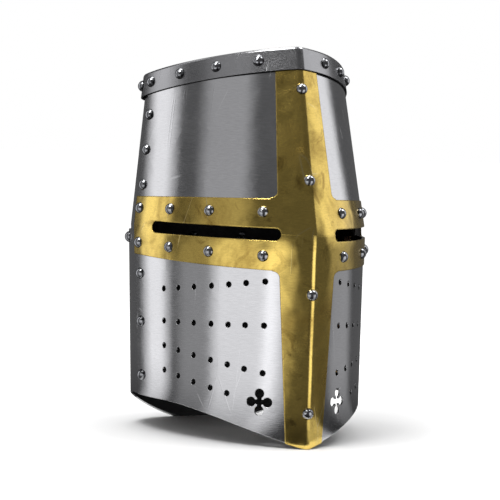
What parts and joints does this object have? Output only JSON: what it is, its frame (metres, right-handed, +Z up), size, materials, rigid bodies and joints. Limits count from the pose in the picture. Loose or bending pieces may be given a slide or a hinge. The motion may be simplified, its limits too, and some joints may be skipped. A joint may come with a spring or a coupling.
{
  "type": "great helm",
  "caption": "Great helm of plate steel with a brass cross on a ridged face, eye slits, breaths, a flat sloping crown, a laced leather lining and a buckled chin strap.",
  "frame": {"origin": "under the middle of the helm, level with the tip of the chin and the nape", "axes": "+Z up towards the crown, -Y towards the face, +X towards the wearer's left"},
  "size_m": [0.221, 0.247, 0.3463],
  "materials": {
    "steel": "satin, fine grain, light scratches",
    "rivet_steel": "polished",
    "brass": "satin, lightly hammered and tarnished",
    "leather": "vegetable tanned, cut edges",
    "lace": "rawhide"
  },
  "bodies": {
    "helm": {"crown_plate": "steel", "upper_front_plate": "steel", "lower_front_plate": "steel", "upper_back_plate": "steel", "lower_back_plate": "steel", "brass_cross": "brass", "crown_rivets": "rivet_steel", "ridge_rivets": "rivet_steel", "band_upper_rivets": "rivet_steel", "band_lower_rivets": "rivet_steel", "seam_rivets_left": "rivet_steel", "seam_rivets_right": "rivet_steel", "back_joint_rivets": "rivet_steel", "liner_band": "leather", "liner_washers": "rivet_steel", "liner_lace": "lace", "liner_tongue_left_1": "leather", "liner_tongue_left_2": "leather", "liner_tongue_left_3": "leather", "liner_tongue_left_4": "leather", "liner_tongue_right_1": "leather", "liner_tongue_right_2": "leather", "liner_tongue_right_3": "leather", "liner_tongue_right_4": "leather", "chin_strap_left": "leather", "chin_strap_right": "leather", "strap_keeper": "leather"},
    "frame": {"buckle_frame": "brass"},
    "prong": {"buckle_prong": "brass"}
  },
  "joints": [
    {"name": "buckle_frame_swing", "type": "hinge", "parent": "helm", "child": "frame", "pos_m": [0.09351, 0.02987, 0.07405], "axis": [0.1238, 0.9905, -0.0599], "range_deg": [-6, 90]},
    {"name": "buckle_prong_swing", "type": "hinge", "parent": "frame", "child": "prong", "pos_m": [0.09351, 0.02987, 0.07405], "axis": [0.1238, 0.9905, -0.0599], "range_deg": [0, 50]}
  ]
}
